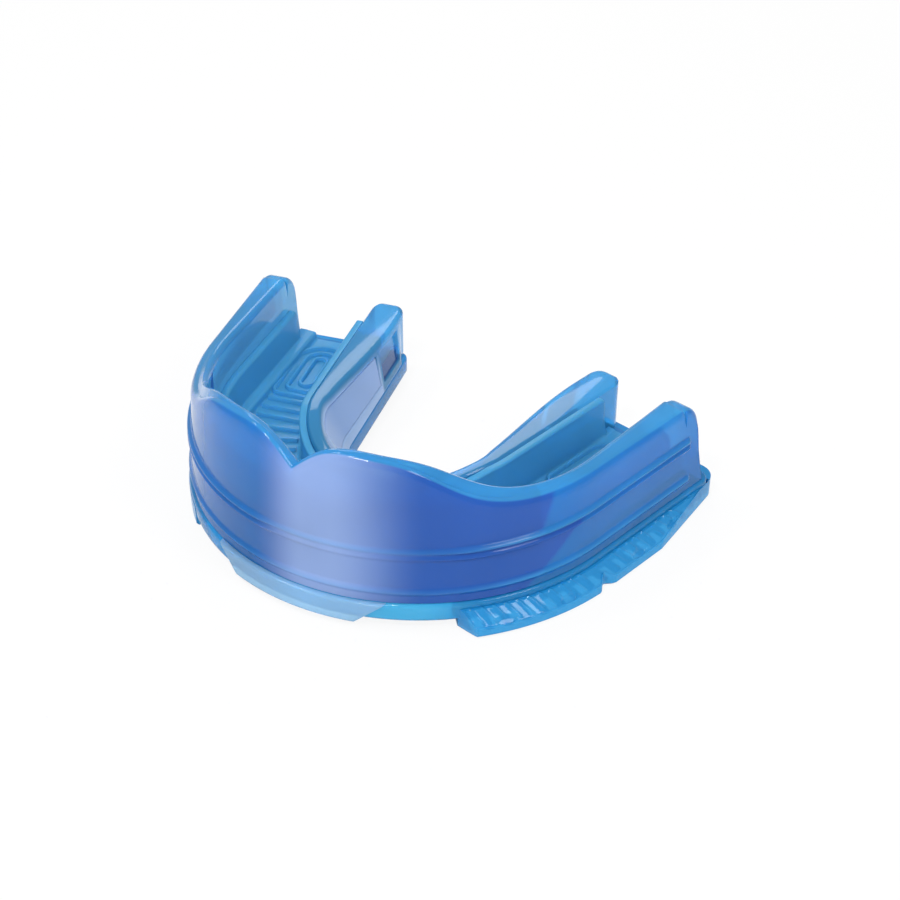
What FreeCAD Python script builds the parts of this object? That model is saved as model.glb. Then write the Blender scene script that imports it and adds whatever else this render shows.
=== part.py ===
import FreeCAD, Part
import Sketcher
import math
import os

# A boil-and-bite mouthguard: an arch-shaped tray that lies over the upper teeth.
# The front of the mouth is towards -Y, the biting side is down, and the origin is
# under the middle of the whole. Plan sketches are drawn about the arch centre, which
# is the centre of the front arc and lies on the Y axis.

SIZES = [
    # the arch in plan, at the foot of the outer wall
    ("arch_radius", 26.5),
    ("leg_splay", 12.5),
    ("channel_splay", 8.7),
    # levels above the underside
    ("plate_bottom", 1.2),
    ("foot_level", 3.4),
    ("low_rail_level", 4.95),
    ("mid_rail_level", 9.6),
    # outer shield
    ("shield_leg", 18.8),
    ("shield_draft", 4.0),
    ("shield_wall", 3.0),
    ("lobe_height", 20.9),
    ("lobe_offset", 8.6),
    ("lobe_end", 13.4),
    ("notch_height", 17.8),
    ("notch_half_width", 3.4),
    ("dip_height", 16.1),
    ("dip_offset", 18.2),
    ("lobe_fall", 0.4),
    ("lobe_end_fall", 1.34),
    ("rear_height", 14.3),
    ("side_height", 13.3),
    ("shield_corner", 2.4),
    ("shield_corner_leg", 17.5),
    ("shield_corner_height", 14.0),
    # impact insert behind the front of the shield
    ("insert_wall", 1.2),
    ("insert_angle", 124.0),
    ("insert_bottom", 4.4),
    ("insert_top", 14.6),
    # rails round the shield
    ("mid_rail_height", 1.9),
    ("mid_rail_proud", 0.6),
    ("low_rail_height", 1.3),
    ("low_rail_proud", 0.4),
    ("rail_bevel", 0.4),
    # bite plate and palate opening
    ("plate_leg", 20.2),
    ("plate_proud", 0.3),
    ("plate_bevel", 0.4),
    ("palate_inset", 18.2),
    # lingual wall
    ("lingual_inset", 13.6),
    ("lingual_leg", 19.4),
    ("lingual_height", 9.8),
    ("lingual_front_height", 7.8),
    ("lingual_slope", 16.0),
    ("lingual_rise_start", 13.5),
    ("lingual_rise_length", 10.0),
    ("lingual_ease", 0.24),
    ("post_radius", 2.0),
    ("post_inset", 15.6),
    ("post_round", 0.9),
    ("panel_wall", 0.6),
    ("panel_start", -4.0),
    ("panel_length", 16.4),
    ("panel_margin", 1.1),
    ("window_start", 13.3),
    ("window_length", 3.8),
    ("window_depth", 0.8),
    # gel liner of the tooth channel
    ("liner_wall", 0.9),
    ("liner_floor", 0.8),
    ("liner_height", 9.6),
    ("liner_side_leg", 16.6),
    ("curb_width", 1.2),
    ("curb_height", 1.1),
    # ribs on the channel floor
    ("rib_width", 0.7),
    ("rib_height", 0.5),
    ("rib_pitch", 1.8),
    ("rib_count", 8),
    ("rib_start", 4.1),
    ("rib_gap", 0.5),
    ("nest_count", 3),
    ("nest_radius", 0.5),
    ("nest_leg", 5.0),
    ("nest_position", 13.4),
    # front bumper
    ("bumper_proud", 0.7),
    ("bumper_bottom", 0.7),
    ("bumper_top", 3.1),
    ("bumper_top_width", 20.6),
    ("bumper_bottom_width", 15.0),
    # tread pads under the molars
    ("pad_proud", 2.3),
    ("pad_flush", 0.35),
    ("pad_top", 2.6),
    ("pad_leg", 22.0),
    ("pad_inset", 16.0),
    ("pad_front_angle", 40.0),
    ("pad_taper_start", 9.0),
    ("pad_taper", 11.0),
    ("pad_slant", 36.0),
    ("pad_notch_angle", 77.0),
    ("pad_notch_radius", 1.3),
    ("pad_notch_depth", 0.8),
    ("pad_slope", 1.7),
    ("pad_bevel", 0.3),
    ("tread_width", 0.8),
    ("tread_depth", 0.5),
    ("tread_pitch", 2.1),
    ("tread_edge", 1.0),
]

doc = FreeCAD.newDocument("Mouthguard")
sheet = doc.addObject("Spreadsheet::Sheet", "Sizes")
for row, (alias, value) in enumerate(SIZES, 1):
    sheet.set(f"A{row}", alias)
    sheet.set(f"B{row}", str(value))
    sheet.setAlias(f"B{row}", alias)
doc.recompute()

# How far a cutting solid runs past what it cuts.
PAST = 10.0
# Where the arch centre lies on Y: the bumper and the pads' rear corners are equally far from the origin.
FRONT_REACH = "(Sizes.arch_radius + Sizes.bumper_proud)"
REAR_REACH = ("(Sizes.pad_leg * cos(Sizes.leg_splay * 1deg)"
              " - (Sizes.arch_radius - Sizes.pad_inset) * sin(Sizes.leg_splay * 1deg))")
ARCH_CENTRE = f"({FRONT_REACH} - {REAR_REACH}) / 2"
ARCH_RADIUS = "Sizes.arch_radius"
OUTER_SPLAY = "Sizes.leg_splay"
CHANNEL_SPLAY = "Sizes.channel_splay"
SHIELD_INSIDE = "Sizes.arch_radius - Sizes.shield_wall"
LINER_INSIDE = "Sizes.arch_radius - Sizes.shield_wall - Sizes.liner_wall"
LINGUAL_FACE = "Sizes.arch_radius - Sizes.lingual_inset"
LINER_LINGUAL_FACE = "Sizes.arch_radius - Sizes.lingual_inset + Sizes.liner_wall"
PALATE_RADIUS = "Sizes.arch_radius - Sizes.palate_inset"


def size(name):
    """The value of one named size."""
    return float(sheet.get(name))


def worth(expression):
    """The value of an expression in the named sizes."""
    value = sheet.evalExpression(expression)
    return float(getattr(value, "Value", value))


def origin_plane(body, role):
    """One of the body's own origin planes."""
    return next(f for f in body.Origin.OriginFeatures if f.Role == role)


def new_body(label):
    body = doc.addObject("PartDesign::Body", label)
    body.Label = label
    return body


def arch_outline(body, label, level, radius, splay, leg):
    """A closed plan outline: the front arc, two tangent legs, and rear edges square to the legs."""
    sketch = body.newObject("Sketcher::SketchObject", label)
    sketch.AttachmentSupport = (origin_plane(body, "XY_Plane"), [""])
    sketch.MapMode = "FlatFace"
    sketch.setExpression("AttachmentOffset.Base.y", ARCH_CENTRE)
    sketch.setExpression("AttachmentOffset.Base.z", level)
    r, length = worth(radius), worth(leg)
    angle = math.radians(worth(splay))
    front = math.pi / 2 - angle
    tangent = FreeCAD.Vector(r * math.cos(angle), -r * math.sin(angle), 0)
    rear = tangent + FreeCAD.Vector(math.sin(angle), math.cos(angle), 0) * length
    middle = FreeCAD.Vector(0, rear.y + rear.x * math.tan(angle), 0)

    def mirrored(p):
        return FreeCAD.Vector(-p.x, p.y, 0)

    circle = Part.Circle(FreeCAD.Vector(), FreeCAD.Vector(0, 0, 1), r)
    sketch.addGeometry(Part.ArcOfCircle(circle, -math.pi / 2 - front, -math.pi / 2 + front), False)
    sketch.addGeometry(Part.LineSegment(tangent, rear), False)
    sketch.addGeometry(Part.LineSegment(rear, middle), False)
    sketch.addGeometry(Part.LineSegment(middle, mirrored(rear)), False)
    sketch.addGeometry(Part.LineSegment(mirrored(rear), mirrored(tangent)), False)
    Rule = Sketcher.Constraint
    sketch.addConstraint([
        Rule("Coincident", 0, 3, -1, 1),
        Rule("Tangent", 0, 2, 1, 1),
        Rule("Coincident", 1, 2, 2, 1),
        Rule("Coincident", 2, 2, 3, 1),
        Rule("Coincident", 3, 2, 4, 1),
        Rule("Tangent", 4, 2, 0, 1),
        Rule("Perpendicular", 1, 2),
        Rule("PointOnObject", 2, 2, -2),
        Rule("Horizontal", 0, 1, 0, 2),
        Rule("Equal", 1, 4),
    ])
    bind(sketch, Rule("Radius", 0, r), "radius", radius)
    bind(sketch, Rule("Distance", 1, length), "leg", leg)
    bind(sketch, Rule("DistanceX", -1, 1, 0, 2, tangent.x), "tangent_x",
         f"({radius}) * cos({splay} * 1deg)")
    return sketch


def bind(sketch, rule, name, expression):
    """Adds a dimension to a sketch and ties it to the sheet."""
    index = sketch.addConstraint(rule)
    sketch.renameConstraint(index, name)
    sketch.setExpression(f"Constraints.{name}", expression)


def pad(body, label, sketch, length, draft=None):
    """A pad upwards; a positive draft widens it with height."""
    feature = body.newObject("PartDesign::Pad", label)
    feature.Profile = sketch
    feature.setExpression("Length", length)
    if draft:
        feature.setExpression("TaperAngle", draft)
    doc.recompute()
    return feature


def pocket(body, label, sketch):
    """A pocket down through the whole body."""
    before = body.Shape.Volume
    feature = body.newObject("PartDesign::Pocket", label)
    feature.Profile = sketch
    feature.Type = "ThroughAll"
    doc.recompute()
    assert feature.Shape.Volume < before, label
    return feature


def arch_block(label, radius, splay, leg, bottom, top, draft=None):
    """A body that fills an arch outline between two levels."""
    body = new_body(label)
    sketch = arch_outline(body, label + "_plan", bottom, radius, splay, leg)
    pad(body, label + "_pad", sketch, f"{top} - ({bottom})", draft)
    return body


def arch_ring(label, outer, inner, bottom, top):
    """A block with a smaller arch cut out of it; outer is (radius, splay, leg), inner (radius, splay)."""
    body = arch_block(label, *outer, bottom, top)
    sketch = arch_outline(body, label + "_inside", top, *inner, f"{outer[2]} + {PAST}")
    pocket(body, label + "_opening", sketch)
    return body


def boolean(kind, label, base, tool):
    feature = doc.addObject("Part::" + kind, label)
    feature.Label = label
    feature.Base = base
    feature.Tool = tool
    doc.recompute()
    return feature


def fused(label, pieces):
    feature = doc.addObject("Part::MultiFuse", label)
    feature.Label = label
    feature.Shapes = pieces
    doc.recompute()
    return feature


def grouped(label, pieces):
    """Separate solids that share one node."""
    feature = doc.addObject("Part::Compound", label)
    feature.Label = label
    feature.Links = pieces
    doc.recompute()
    return feature


def mirrored_copy(label, source):
    """The left-hand copy of a right-hand piece."""
    feature = doc.addObject("Part::Mirroring", label)
    feature.Label = label
    feature.Source = source
    feature.Normal = (1, 0, 0)
    doc.recompute()
    return feature


def box(label, length, width, height, placement):
    feature = doc.addObject("Part::Box", label)
    feature.setExpression("Length", length)
    feature.setExpression("Width", width)
    feature.setExpression("Height", height)
    feature.Placement = placement
    return feature


def on_leg(inset, along, level):
    """A placement beside the right leg: its X runs out of the mouth, its Y to the rear along the leg."""
    angle = math.radians(size("leg_splay"))
    radius = size("arch_radius") - inset
    x = radius * math.cos(angle) + along * math.sin(angle)
    y = worth(ARCH_CENTRE) - radius * math.sin(angle) + along * math.cos(angle)
    turn = FreeCAD.Rotation(FreeCAD.Vector(0, 0, 1), -size("leg_splay"))
    return FreeCAD.Placement(FreeCAD.Vector(x, y, level), turn)


def on_arc(angle, level):
    """A placement at the arch centre whose X runs out of the mouth, angle degrees right of the middle."""
    turn = FreeCAD.Rotation(FreeCAD.Vector(0, 0, 1), angle - 90)
    return FreeCAD.Placement(FreeCAD.Vector(0, worth(ARCH_CENTRE), level), turn)


def across(inset, along, level):
    """A placement like that of on_leg, which carries on round the front arc where along is negative."""
    if along >= 0:
        return on_leg(inset, along, level)
    radius = size("arch_radius") - inset
    angle = 90 - size("leg_splay") + math.degrees(along / radius)
    outwards = FreeCAD.Placement(FreeCAD.Vector(radius, 0, 0), FreeCAD.Rotation())
    return on_arc(angle, level).multiply(outwards)


def profile_cutter(label, edges, direction, start):
    """A Part::Feature: the region bounded by edges, drawn at start and extruded along direction."""
    face = Part.Face(Part.Wire(Part.sortEdges(edges)[0]))
    face.translate(start)
    feature = doc.addObject("Part::Feature", label)
    feature.Label = label
    feature.Shape = face.extrude(direction)
    return feature


def spline(points):
    curve = Part.BSplineCurve()
    curve.interpolate(Points=[FreeCAD.Vector(*p) for p in points])
    return curve.toShape()


def line(a, b):
    return Part.makeLine(FreeCAD.Vector(*a), FreeCAD.Vector(*b))


def rim_cutter():
    """All above the rim of the outer wall: two lobes, a notch between them, dips and low rear ends."""
    top = size("lobe_height")
    side = size("arch_radius") + size("shield_leg")
    stations = [
        (0, size("notch_height")),
        (size("notch_half_width"), top - size("lobe_fall")),
        (size("lobe_offset"), top),
        (size("lobe_end"), top - size("lobe_end_fall")),
        (size("dip_offset"), size("dip_height")),
        (size("arch_radius"), size("rear_height")),
        (side, size("side_height")),
    ]
    right = [(x, 0, z) for x, z in stations]
    left = [(-x, 0, z) for x, z in stations]
    ceiling = top + PAST
    edges = [
        spline(right),
        line(right[-1], (side, 0, ceiling)),
        line((side, 0, ceiling), (-side, 0, ceiling)),
        line((-side, 0, ceiling), left[-1]),
        spline(left),
    ]
    start = FreeCAD.Vector(0, -2 * side, 0)
    return profile_cutter("rim_cutter", edges, FreeCAD.Vector(0, 4 * side, 0), start)


def lingual_cutter():
    """All above the lingual wall, low behind the front teeth and full height beside the molars."""
    low, high, ease = size("lingual_front_height"), size("lingual_height"), size("lingual_ease")
    start = worth(ARCH_CENTRE) - size("lingual_rise_start")
    end = start + size("lingual_rise_length")
    far = -2 * size("arch_radius")
    ceiling = high + PAST
    edges = [
        line((0, far, low), (0, start, low)),
        spline([(0, start, low), (0, (3 * start + end) / 4, low + ease),
                (0, (start + 3 * end) / 4, high - ease), (0, end, high)]),
        line((0, end, high), (0, end, ceiling)),
        line((0, end, ceiling), (0, far, ceiling)),
        line((0, far, ceiling), (0, far, low)),
    ]
    half = 2 * size("arch_radius")
    start = FreeCAD.Vector(-half, 0, 0)
    return profile_cutter("lingual_cutter", edges, FreeCAD.Vector(2 * half, 0, 0), start)


def rear_corner_cutter(label, inset, leg, height, radius, width):
    """What a rounded top rear corner leaves off a wall on the right leg."""
    place = on_leg(inset, leg - radius, height - radius)
    block = box(label + "_block", width, f"{radius} + {PAST}", f"{radius} + {PAST}", place)
    drum = doc.addObject("Part::Cylinder", label + "_drum")
    drum.Radius = radius
    drum.setExpression("Height", width)
    turn = FreeCAD.Rotation(FreeCAD.Vector(0, 1, 0), 90)
    drum.Placement = place.multiply(FreeCAD.Placement(FreeCAD.Vector(), turn))
    return boolean("Cut", label, block, drum)


def sector(label, radius, wall, bottom, top, angle):
    """A curved plate about the arch centre, wall thick outwards from radius."""
    outer = doc.addObject("Part::Cylinder", label + "_outside")
    outer.setExpression("Radius", f"{radius} + {wall}")
    outer.setExpression("Height", f"{top} - {bottom}")
    outer.setExpression("Angle", angle)
    outer.Placement = on_arc(-worth(angle) / 2, worth(bottom))
    inner = doc.addObject("Part::Cylinder", label + "_inside")
    inner.setExpression("Radius", radius)
    inner.setExpression("Height", f"{top} - {bottom}")
    inner.Placement = on_arc(0, worth(bottom))
    return boolean("Cut", label, outer, inner)


def outline_edges(shape, level):
    """Names of the edges of the front arc and the two legs at one level."""
    names = []
    for index, edge in enumerate(shape.Edges, 1):
        flat = all(abs(v.Z - level) < 1e-6 for v in edge.Vertexes)
        middle = edge.valueAt((edge.FirstParameter + edge.LastParameter) / 2)
        one_side = edge.Vertexes[0].X * edge.Vertexes[-1].X > 1e-6
        on_leg_side = one_side and abs(middle.x) > size("palate_inset")
        on_front = edge.Curve.TypeId == "Part::GeomCircle"
        if flat and (on_front or on_leg_side):
            names.append(f"Edge{index}")
    return names


def bevel_outline(body, label, levels, amount):
    """Bevels the outer edges of an arch block at the given levels."""
    base = body.Tip
    edges = [name for level in levels for name in outline_edges(base.Shape, worth(level))]
    bevel = body.newObject("PartDesign::Chamfer", label)
    bevel.Base = (base, edges)
    bevel.setExpression("Size", amount)
    doc.recompute()
    return bevel


def rail(label, level, height, proud, block):
    """A rounded band round the shield whose back lies on the leaning wall."""
    bottom = f"({level} - {height} / 2)"
    top = f"({level} + {height} / 2)"
    lean = f"tan(Sizes.shield_draft * 1deg) * ({level} - Sizes.foot_level)"
    body = arch_block(label + "_band", f"{ARCH_RADIUS} + {proud} - {lean}", OUTER_SPLAY,
                      "Sizes.shield_leg - Sizes.shield_corner", bottom, top)
    bevel_outline(body, label + "_bevel", [bottom, top], "Sizes.rail_bevel")
    return boolean("Cut", label, body, block)


def outer_shield(block, insert):
    """The labial and buccal wall."""
    inside = arch_block("shield_inside", SHIELD_INSIDE, CHANNEL_SPLAY, f"Sizes.shield_leg + {PAST}",
                        "Sizes.foot_level", f"Sizes.lobe_height + {PAST}")
    wall = boolean("Cut", "shield_wall_block", block, inside)
    rimmed = boolean("Cut", "shield_rimmed", wall, rim_cutter())
    recessed = boolean("Cut", "shield_recessed", rimmed, insert)
    corner = rear_corner_cutter("shield_corner_right", size("palate_inset") / 2, size("shield_corner_leg"),
                                size("shield_corner_height"), size("shield_corner"), "Sizes.palate_inset")
    both = fused("shield_corners", [corner, mirrored_copy("shield_corner_left", corner)])
    return boolean("Cut", "outer_shield", recessed, both)


def bite_plate():
    """The floor of the tray, a flat U."""
    body = arch_block("plate_block", f"{ARCH_RADIUS} + Sizes.plate_proud", OUTER_SPLAY, "Sizes.plate_leg",
                      "Sizes.plate_bottom", "Sizes.foot_level")
    bevel_outline(body, "plate_bevelled", ["Sizes.plate_bottom", "Sizes.foot_level"], "Sizes.plate_bevel")
    palate = arch_block("palate_hole", PALATE_RADIUS, OUTER_SPLAY, f"Sizes.plate_leg + {PAST}",
                        f"Sizes.plate_bottom - {PAST}", f"Sizes.foot_level + {PAST}")
    return boolean("Cut", "bite_plate", body, palate)


def end_post(height):
    """The round post that ends the right leg of the lingual wall, with a rounded top."""
    body = new_body("end_post")
    pin = body.newObject("PartDesign::AdditiveCylinder", "post_pin")
    pin.setExpression("Radius", "Sizes.post_radius")
    pin.setExpression("Height", height)
    doc.recompute()
    top = [f"Edge{index}" for index, edge in enumerate(pin.Shape.Edges, 1)
           if all(abs(v.Z - worth(height)) < 1e-6 for v in edge.Vertexes)]
    fillet = body.newObject("PartDesign::Fillet", "post_top")
    fillet.Base = (pin, top)
    fillet.setExpression("Radius", "Sizes.post_round")
    body.Placement = on_leg(size("post_inset"), size("lingual_leg"), size("foot_level"))
    doc.recompute()
    return body


def lingual_pieces():
    """The inner wall with its end posts, and the two panels let into its palate side."""
    height = "Sizes.lingual_height"
    block = arch_block("lingual_block", LINGUAL_FACE, OUTER_SPLAY, "Sizes.lingual_leg",
                       "Sizes.foot_level", height)
    slope = "Sizes.lingual_slope"
    long_leg = f"Sizes.lingual_leg + {PAST}"
    palate = arch_block("palate_space", PALATE_RADIUS, OUTER_SPLAY, long_leg, "Sizes.foot_level",
                        f"{height} + {PAST}", slope)
    post = end_post(f"{height} - Sizes.foot_level")
    low = boolean("Cut", "lingual_low", block, lingual_cutter())
    walls = boolean("Cut", "lingual_walls", low, palate)
    posts = fused("lingual_posts", [walls, post, mirrored_copy("post_pin_left", post)])
    behind = arch_block("panel_space", f"{PALATE_RADIUS} + Sizes.panel_wall", OUTER_SPLAY, long_leg,
                        "Sizes.foot_level", f"{height} + {PAST}", slope)
    skin = boolean("Cut", "panel_skin", behind, palate)
    place = on_leg(size("palate_inset") + PAST / 2, size("panel_start"),
                   size("foot_level") + size("panel_margin"))
    window = box("panel_window", f"{PAST} + Sizes.panel_wall", "Sizes.panel_length",
                 f"{height} - Sizes.foot_level - 2 * Sizes.panel_margin", place)
    right = boolean("Common", "lingual_panel_right", skin, window)
    left = mirrored_copy("lingual_panel_left", right)
    windows = rear_windows(long_leg, slope)
    wall = boolean("Cut", "lingual_wall", posts, fused("panels", [right, left, *windows]))
    return wall, right, left, posts


def rear_windows(leg, slope):
    """The shallow recess behind each panel, and its mirror image."""
    space = arch_block("window_space", f"{PALATE_RADIUS} + Sizes.window_depth", OUTER_SPLAY, leg,
                       "Sizes.foot_level", f"Sizes.lingual_height + {PAST}", slope)
    place = on_leg(size("palate_inset") + PAST / 2, size("window_start"),
                   size("foot_level") + size("panel_margin"))
    window = box("window_box", f"{PAST} + Sizes.window_depth", "Sizes.window_length",
                 "Sizes.lingual_height - Sizes.foot_level - 2 * Sizes.panel_margin", place)
    right = boolean("Common", "window_right", space, window)
    return right, mirrored_copy("window_left", right)


def gel_liner(posts):
    """The soft trough between the walls, thin enough to mould round the teeth."""
    top = "Sizes.liner_height"
    floor = "(Sizes.foot_level + Sizes.liner_floor)"
    leg = "Sizes.shield_leg"
    block = arch_ring("liner_block", (SHIELD_INSIDE, CHANNEL_SPLAY, leg), (LINGUAL_FACE, OUTER_SPLAY),
                      "Sizes.foot_level", top)
    curb = f"({floor} + Sizes.curb_height)"
    upper = arch_ring("upper_channel", (LINER_INSIDE, CHANNEL_SPLAY, f"{leg} + {PAST}"),
                      (LINER_LINGUAL_FACE, OUTER_SPLAY), curb, f"{top} + {PAST}")
    within = f"{LINER_INSIDE} - Sizes.curb_width"
    lower = arch_ring("lower_channel", (within, CHANNEL_SPLAY, f"{leg} + {PAST}"),
                      (LINER_LINGUAL_FACE, OUTER_SPLAY), floor, curb)
    trough = boolean("Cut", "liner_trough", block, fused("tooth_channel", [upper, lower]))
    inner = arch_block("liner_lingual", LINER_LINGUAL_FACE, OUTER_SPLAY, f"{leg} + {PAST}",
                       "Sizes.foot_level", f"{top} + {PAST}")
    lip = boolean("Common", "liner_lip", inner, doc.getObject("lingual_cutter"))
    end = liner_end(curb)
    ends = fused("liner_cuts", [lip, end, mirrored_copy("liner_end_left", end)])
    low = boolean("Cut", "liner_low", trough, ends)
    return boolean("Cut", "gel_liner", low, posts)


def liner_end(curb):
    """What the liner's outer side loses above its curb, so that it ends inside the shield's rear edge."""
    place = on_leg(size("lingual_inset") - size("liner_wall"), size("liner_side_leg"), worth(curb))
    return box("liner_end_right", "Sizes.lingual_inset - 2 * Sizes.liner_wall", f"{PAST}", f"{PAST}", place)


def loop_face(half_width, front):
    """A flat face with a round rear end about its own centre and a square front end."""
    corners = [(half_width, 0, 0), (half_width, -front, 0), (-half_width, -front, 0), (-half_width, 0, 0)]
    sides = [line(a, b) for a, b in zip(corners, corners[1:])]
    end = Part.Arc(*[FreeCAD.Vector(*p) for p in (corners[0], (0, half_width, 0), corners[-1])]).toShape()
    return Part.Face(Part.Wire(Part.sortEdges([end, *sides])[0]))


def nested_rib(index):
    """One closed loop of the nest of ribs at the rear of the channel floor, drawn about its own centre."""
    step = index * (size("rib_width") + size("rib_gap"))
    inner = size("nest_radius") + step
    front = size("nest_leg") + step
    ring = loop_face(inner + size("rib_width"), front + size("rib_width")).cut(loop_face(inner, front))
    feature = doc.addObject("Part::Feature", f"nested_rib_{index}")
    feature.Shape = ring.extrude(FreeCAD.Vector(0, 0, size("rib_height")))
    return feature


def channel_ribs():
    """Grip ribs on the floor of the right channel: cross ribs in front, a nest of loops at the rear."""
    level = size("foot_level") + size("liner_floor")
    outside = size("shield_wall") + size("liner_wall") + size("curb_width")
    inside = size("lingual_inset") - size("liner_wall")
    middle = (outside + inside) / 2
    ribs = []
    for index in range(int(size("nest_count"))):
        rib = nested_rib(index)
        rib.Placement = on_leg(middle, size("nest_position"), level)
        ribs.append(rib)
    span = ("Sizes.lingual_inset - Sizes.shield_wall - 2 * Sizes.liner_wall - Sizes.curb_width"
            " - 2 * Sizes.rib_gap")
    for index in range(int(size("rib_count"))):
        along = size("rib_start") - index * size("rib_pitch")
        place = across(inside - size("rib_gap"), along, level)
        ribs.append(box(f"cross_rib_{index}", span, "Sizes.rib_width", "Sizes.rib_height", place))
    right = grouped("channel_ribs_right", ribs)
    return right, mirrored_copy("channel_ribs_left", right)


def front_bumper():
    """The trapezoid pad on the front edge of the bite plate."""
    ring = arch_ring("bumper_ring", (f"{ARCH_RADIUS} + Sizes.bumper_proud", OUTER_SPLAY, "Sizes.plate_leg"),
                     (f"{ARCH_RADIUS} + Sizes.plate_proud - Sizes.plate_bevel", OUTER_SPLAY),
                     "Sizes.bumper_bottom", "Sizes.bumper_top")
    body = new_body("bumper_face")
    sketch = body.newObject("Sketcher::SketchObject", "bumper_front")
    sketch.AttachmentSupport = (origin_plane(body, "XZ_Plane"), [""])
    sketch.MapMode = "FlatFace"
    low, high = size("bumper_bottom"), size("bumper_top")
    wide, narrow = size("bumper_top_width") / 2, size("bumper_bottom_width") / 2
    corners = [(-narrow, low), (narrow, low), (wide, high), (-wide, high)]
    points = [FreeCAD.Vector(x, z, 0) for x, z in corners]
    Rule = Sketcher.Constraint
    for index in range(4):
        sketch.addGeometry(Part.LineSegment(points[index], points[(index + 1) % 4]), False)
    for index in range(4):
        sketch.addConstraint(Rule("Coincident", index, 2, (index + 1) % 4, 1))
    sketch.addConstraint([
        Rule("Symmetric", 0, 1, 0, 2, -2),
        Rule("Symmetric", 2, 1, 2, 2, -2),
    ])
    bind(sketch, Rule("DistanceX", 0, 1, 0, 2, 2 * narrow), "narrow", "Sizes.bumper_bottom_width")
    bind(sketch, Rule("DistanceX", 2, 2, 2, 1, 2 * wide), "wide", "Sizes.bumper_top_width")
    bind(sketch, Rule("DistanceY", -1, 1, 0, 1, low), "low", "Sizes.bumper_bottom")
    bind(sketch, Rule("DistanceY", -1, 1, 2, 2, high), "high", "Sizes.bumper_top")
    face = pad(body, "bumper_prism", sketch, f"{ARCH_RADIUS} + {PAST}")
    doc.recompute()
    if face.Shape.CenterOfMass.y > 0:
        face.Reversed = True
        doc.recompute()
    return boolean("Common", "bumper_blank", ring, body)


def tread_pad():
    """The right-hand pad under the molars, lobed outside, with grip grooves across its underside."""
    outline = arch_block("pad_block", f"{ARCH_RADIUS} + Sizes.pad_proud", OUTER_SPLAY, "Sizes.pad_leg",
                         "0", "Sizes.pad_top")
    bevel_outline(outline, "pad_sloped", ["Sizes.pad_top"], "Sizes.pad_slope")
    bevel_outline(outline, "pad_bevelled", ["0"], "Sizes.pad_bevel")
    inside = arch_block("pad_inside", f"{ARCH_RADIUS} - Sizes.pad_inset", OUTER_SPLAY,
                        f"Sizes.pad_leg + {PAST}", f"0 - {PAST}", f"Sizes.pad_top + {PAST}")
    sole = boolean("Cut", "pad_sole", outline, inside)
    reach = f"2 * {ARCH_RADIUS}"
    front = box("pad_front_cut", reach, reach, reach,
                on_arc(size("pad_front_angle"), -size("arch_radius")).multiply(
                    FreeCAD.Placement(FreeCAD.Vector(0, -2 * size("arch_radius"), 0), FreeCAD.Rotation())))
    left = box("pad_left_cut", reach, f"4 * {ARCH_RADIUS}", reach,
               FreeCAD.Placement(FreeCAD.Vector(-2 * size("arch_radius"), -2 * size("arch_radius"),
                                                -size("arch_radius")), FreeCAD.Rotation()))
    half = boolean("Cut", "pad_half", sole, fused("pad_ends", [front, left]))
    notch = doc.addObject("Part::Cylinder", "pad_notch")
    notch.setExpression("Radius", "Sizes.pad_notch_radius")
    notch.setExpression("Height", "Sizes.pad_top")
    reach_out = worth(f"{ARCH_RADIUS} + Sizes.pad_proud + Sizes.pad_notch_radius - Sizes.pad_notch_depth")
    notch.Placement = on_arc(size("pad_notch_angle"), 0).multiply(
        FreeCAD.Placement(FreeCAD.Vector(reach_out, 0, 0), FreeCAD.Rotation()))
    cuts = [notch, pad_taper_cutter(), pad_slant_cutter()] + tread_grooves()
    shaped = boolean("Cut", "pad_shaped", half, fused("pad_cuts", cuts))
    clear = arch_block("pad_plate_space", f"{ARCH_RADIUS} + Sizes.plate_proud", OUTER_SPLAY,
                       "Sizes.plate_leg", "Sizes.plate_bottom", f"Sizes.foot_level + {PAST}")
    return boolean("Cut", "tread_pad_right", shaped, clear)


def left_lobe():
    """The front lobe that the left-hand pad lacks: there it ends nearly flush with the bite plate."""
    ring = arch_ring("lobe_ring", (f"{ARCH_RADIUS} + {PAST}", OUTER_SPLAY, "Sizes.pad_leg"),
                     (f"{ARCH_RADIUS} + Sizes.pad_flush", OUTER_SPLAY), f"0 - {PAST}",
                     f"Sizes.pad_top + {PAST}")
    reach = f"2 * {ARCH_RADIUS}"
    ahead = box("lobe_ahead", reach, reach, reach, on_arc(-size("pad_notch_angle"), -size("arch_radius")))
    return boolean("Common", "left_lobe", ring, ahead)


def pad_taper_cutter():
    """What the pad loses where its outer edge draws in towards the rear."""
    turn = FreeCAD.Placement(FreeCAD.Vector(), FreeCAD.Rotation(FreeCAD.Vector(0, 0, 1), size("pad_taper")))
    place = on_leg(-size("pad_proud"), size("pad_taper_start"), -PAST).multiply(turn)
    return box("pad_taper_cut", f"Sizes.pad_proud + {PAST}", "2 * Sizes.pad_leg",
               f"Sizes.pad_top + 2 * {PAST}", place)


def pad_slant_cutter():
    """What the pad loses where its front end slants out from the arch."""
    turn = FreeCAD.Placement(FreeCAD.Vector(size("arch_radius"), 0, 0),
                             FreeCAD.Rotation(FreeCAD.Vector(0, 0, 1), -90 + size("pad_slant")))
    place = on_arc(size("pad_front_angle"), -PAST).multiply(turn)
    return box("pad_slant_cut", f"2 * {PAST}", f"2 * {PAST}", f"Sizes.pad_top + 2 * {PAST}",
               place)


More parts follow.
